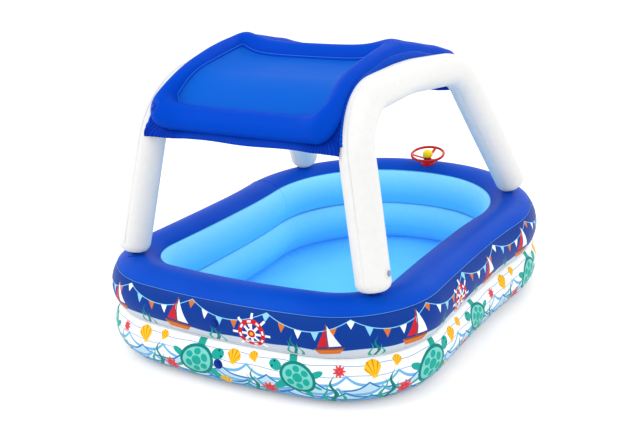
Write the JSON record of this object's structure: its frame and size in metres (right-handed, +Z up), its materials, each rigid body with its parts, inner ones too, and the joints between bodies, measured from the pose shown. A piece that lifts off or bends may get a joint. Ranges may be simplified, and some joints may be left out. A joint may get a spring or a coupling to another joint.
{
  "type": "inflatable paddling pool",
  "caption": "Inflatable boat-shaped paddling pool with two stacked air rings, a sunshade on two arches and a turning toy steering wheel.",
  "frame": {"origin": "on the ground under the middle of the pool", "axes": "+Y along the pool towards the bow with the steering wheel, +X to the right, +Z up"},
  "size_m": [1.554, 2.1373, 1.2992],
  "materials": {
    "shade_blue": "gloss, soft inflated vinyl",
    "ring_blue": "gloss, soft inflated vinyl",
    "printed_blue": "gloss, printed vinyl",
    "printed_white": "gloss, printed vinyl",
    "light_blue": "gloss, soft inflated vinyl",
    "white_vinyl": "gloss, soft inflated vinyl",
    "valve_blue": "gloss, moulded vinyl",
    "valve_grey": "gloss, moulded vinyl",
    "red_plastic": "gloss, moulded",
    "yellow_plastic": "gloss, moulded",
    "grey_plastic": "satin, moulded",
    "dark_rubber": "matte"
  },
  "bodies": {
    "pool": {"upper_ring_top_band": "ring_blue", "upper_ring_outer_band": "printed_blue", "upper_ring_inner_band": "light_blue", "ring_divider": "light_blue", "lower_ring_outer_band": "printed_white", "lower_ring_inner_band": "light_blue", "floor_sheet": "light_blue", "leg_pockets": "ring_blue", "upper_ring_valve_flange": "valve_blue", "lower_ring_valve_flange": "valve_blue", "wheel_base": "red_plastic", "wheel_pedestal": "red_plastic", "wheel_spindle": "grey_plastic", "wheel_clip": "grey_plastic"},
    "sunshade": {"right_arch_tube": "white_vinyl", "left_arch_tube": "white_vinyl", "arch_end_caps": "white_vinyl", "leg_plugs": "valve_blue", "right_arch_valve_flange": "valve_grey", "left_arch_valve_flange": "valve_grey", "shade_top_sheet": "shade_blue", "shade_bottom_sheet": "shade_blue", "shade_front_skirt": "shade_blue", "shade_rear_skirt": "shade_blue", "shade_side_strips": "shade_blue", "shade_valve_flange": "shade_blue"},
    "steering_wheel": {"steering_wheel": "red_plastic", "horn_squeaker": "dark_rubber"},
    "horn_button": {"horn_button": "yellow_plastic"},
    "upper_ring_stem": {"upper_ring_valve_stem": "valve_blue"},
    "upper_ring_plug": {"upper_ring_valve_plug": "valve_blue"},
    "lower_ring_stem": {"lower_ring_valve_stem": "valve_blue"},
    "lower_ring_plug": {"lower_ring_valve_plug": "valve_blue"},
    "right_arch_stem": {"right_arch_valve_stem": "valve_grey"},
    "right_arch_plug": {"right_arch_valve_plug": "valve_grey"},
    "left_arch_stem": {"left_arch_valve_stem": "valve_grey"},
    "left_arch_plug": {"left_arch_valve_plug": "valve_grey"},
    "shade_stem": {"shade_valve_stem": "shade_blue"},
    "shade_plug": {"shade_valve_plug": "shade_blue"}
  },
  "joints": [
    {"name": "sunshade_lift", "type": "slide", "parent": "pool", "child": "sunshade", "axis": [0, 0, 1], "range_m": [0, 0.15]},
    {"name": "steering_wheel_turn", "type": "hinge", "parent": "pool", "child": "steering_wheel", "pos_m": [0, 0.935, 0.304], "axis": [0.0514, -0.1908, 0.9803], "continuous": true},
    {"name": "horn_press", "type": "slide", "parent": "steering_wheel", "child": "horn_button", "axis": [-0.0514, 0.1908, -0.9803], "range_m": [0, 0.004], "stiffness_N_per_m": 600},
    {"name": "upper_ring_stem_out", "type": "slide", "parent": "pool", "child": "upper_ring_stem", "axis": [0, -1, 0], "range_m": [0, 0.014]},
    {"name": "upper_ring_plug_out", "type": "slide", "parent": "upper_ring_stem", "child": "upper_ring_plug", "axis": [0, -1, 0], "range_m": [0, 0.012]},
    {"name": "lower_ring_stem_out", "type": "slide", "parent": "pool", "child": "lower_ring_stem", "axis": [0, -1, 0], "range_m": [0, 0.014]},
    {"name": "lower_ring_plug_out", "type": "slide", "parent": "lower_ring_stem", "child": "lower_ring_plug", "axis": [0, -1, 0], "range_m": [0, 0.012]},
    {"name": "right_arch_stem_out", "type": "slide", "parent": "sunshade", "child": "right_arch_stem", "axis": [0.9833, 0, 0.1822], "range_m": [0, 0.014]},
    {"name": "right_arch_plug_out", "type": "slide", "parent": "right_arch_stem", "child": "right_arch_plug", "axis": [0.9833, 0, 0.1822], "range_m": [0, 0.012]},
    {"name": "left_arch_stem_out", "type": "slide", "parent": "sunshade", "child": "left_arch_stem", "axis": [-0.9833, 0, 0.1822], "range_m": [0, 0.014]},
    {"name": "left_arch_plug_out", "type": "slide", "parent": "left_arch_stem", "child": "left_arch_plug", "axis": [-0.9833, 0, 0.1822], "range_m": [0, 0.012]},
    {"name": "shade_stem_out", "type": "slide", "parent": "sunshade", "child": "shade_stem", "axis": [-0.5566, -0.4895, 0.6713], "range_m": [0, 0.014]},
    {"name": "shade_plug_out", "type": "slide", "parent": "shade_stem", "child": "shade_plug", "axis": [-0.5566, -0.4895, 0.6713], "range_m": [0, 0.012]}
  ]
}
